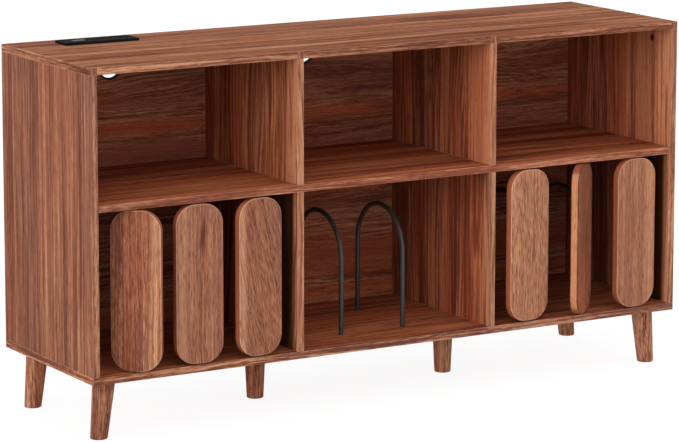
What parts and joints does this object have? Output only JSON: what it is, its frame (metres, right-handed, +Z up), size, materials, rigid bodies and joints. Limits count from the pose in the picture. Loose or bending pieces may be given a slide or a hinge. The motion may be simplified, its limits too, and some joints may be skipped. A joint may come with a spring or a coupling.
{
  "type": "record cabinet",
  "caption": "Free-standing walnut record cabinet on tapered legs, with open bays, record bays with rod arches and turning front slats, and a power strip let into the top.",
  "frame": {"origin": "on the floor, at the middle of the footprint with the slats as they stand in the picture", "axes": "+X to the cabinet's right as seen from the front, along its length; +Y from the front to the rear; +Z up"},
  "size_m": [1.4, 0.4338, 0.7555],
  "materials": {
    "walnut_board": "satin walnut veneer on board, straight grain",
    "walnut_solid": "satin walnut, grain along the piece",
    "black_metal": "satin black paint",
    "black_plastic": "fine matte grain",
    "grey_plastic": "fine matte grain",
    "steel": "zinc plated, lightly brushed"
  },
  "bodies": {
    "cabinet": {"top_panel": "walnut_board", "bottom_panel": "walnut_board", "left_side": "walnut_board", "right_side": "walnut_board", "middle_shelf": "walnut_board", "upper_divider_left": "walnut_board", "lower_divider_left": "walnut_board", "upper_divider_right": "walnut_board", "lower_divider_right": "walnut_board", "back_panel": "walnut_board", "cable_grommet_left": "black_plastic", "cable_grommet_middle": "black_plastic", "cable_grommet_right": "black_plastic", "leg_front_left": "walnut_solid", "leg_rear_left": "walnut_solid", "leg_front_right": "walnut_solid", "leg_rear_right": "walnut_solid", "leg_middle_left": "walnut_solid", "leg_middle_right": "walnut_solid", "leg_stud_front_left": "steel", "leg_stud_rear_left": "steel", "leg_stud_front_right": "steel", "leg_stud_rear_right": "steel", "leg_stud_middle_left": "steel", "leg_stud_middle_right": "steel", "record_arch_1": "black_metal", "record_arch_2": "black_metal", "record_arch_3": "black_metal", "record_arch_4": "black_metal", "cam_lock_left_front": "steel", "cam_lock_left_rear": "steel", "cam_lock_right_front": "steel", "cam_lock_right_rear": "steel", "cam_dowel_left_front": "steel", "cam_dowel_left_rear": "steel", "cam_dowel_right_front": "steel", "cam_dowel_right_rear": "steel", "power_strip_housing": "black_plastic", "mains_socket_1": "black_plastic", "mains_socket_2": "black_plastic", "usb_socket": "grey_plastic"},
    "slat_1": {"slat_1": "walnut_solid", "lower_pin_1": "steel", "upper_pin_1": "steel"},
    "slat_2": {"slat_2": "walnut_solid", "lower_pin_2": "steel", "upper_pin_2": "steel"},
    "slat_3": {"slat_3": "walnut_solid", "lower_pin_3": "steel", "upper_pin_3": "steel"},
    "slat_4": {"slat_4": "walnut_solid", "lower_pin_4": "steel", "upper_pin_4": "steel"},
    "slat_5": {"slat_5": "walnut_solid", "lower_pin_5": "steel", "upper_pin_5": "steel"},
    "slat_6": {"slat_6": "walnut_solid", "lower_pin_6": "steel", "upper_pin_6": "steel"}
  },
  "joints": [
    {"name": "slat_1_turn", "type": "hinge", "parent": "cabinet", "child": "slat_1", "pos_m": [-0.59883, -0.17807, 0.2995], "axis": [0, 0, 1], "continuous": true},
    {"name": "slat_2_turn", "type": "hinge", "parent": "cabinet", "child": "slat_2", "pos_m": [-0.46167, -0.17807, 0.2995], "axis": [0, 0, 1], "continuous": true},
    {"name": "slat_3_turn", "type": "hinge", "parent": "cabinet", "child": "slat_3", "pos_m": [-0.3245, -0.17807, 0.2995], "axis": [0, 0, 1], "continuous": true},
    {"name": "slat_4_turn", "type": "hinge", "parent": "cabinet", "child": "slat_4", "pos_m": [0.3245, -0.17807, 0.2995], "axis": [0, 0, 1], "continuous": true},
    {"name": "slat_5_turn", "type": "hinge", "parent": "cabinet", "child": "slat_5", "pos_m": [0.46167, -0.17807, 0.2995], "axis": [0, 0, 1], "continuous": true},
    {"name": "slat_6_turn", "type": "hinge", "parent": "cabinet", "child": "slat_6", "pos_m": [0.59883, -0.17807, 0.2995], "axis": [0, 0, 1], "continuous": true}
  ]
}
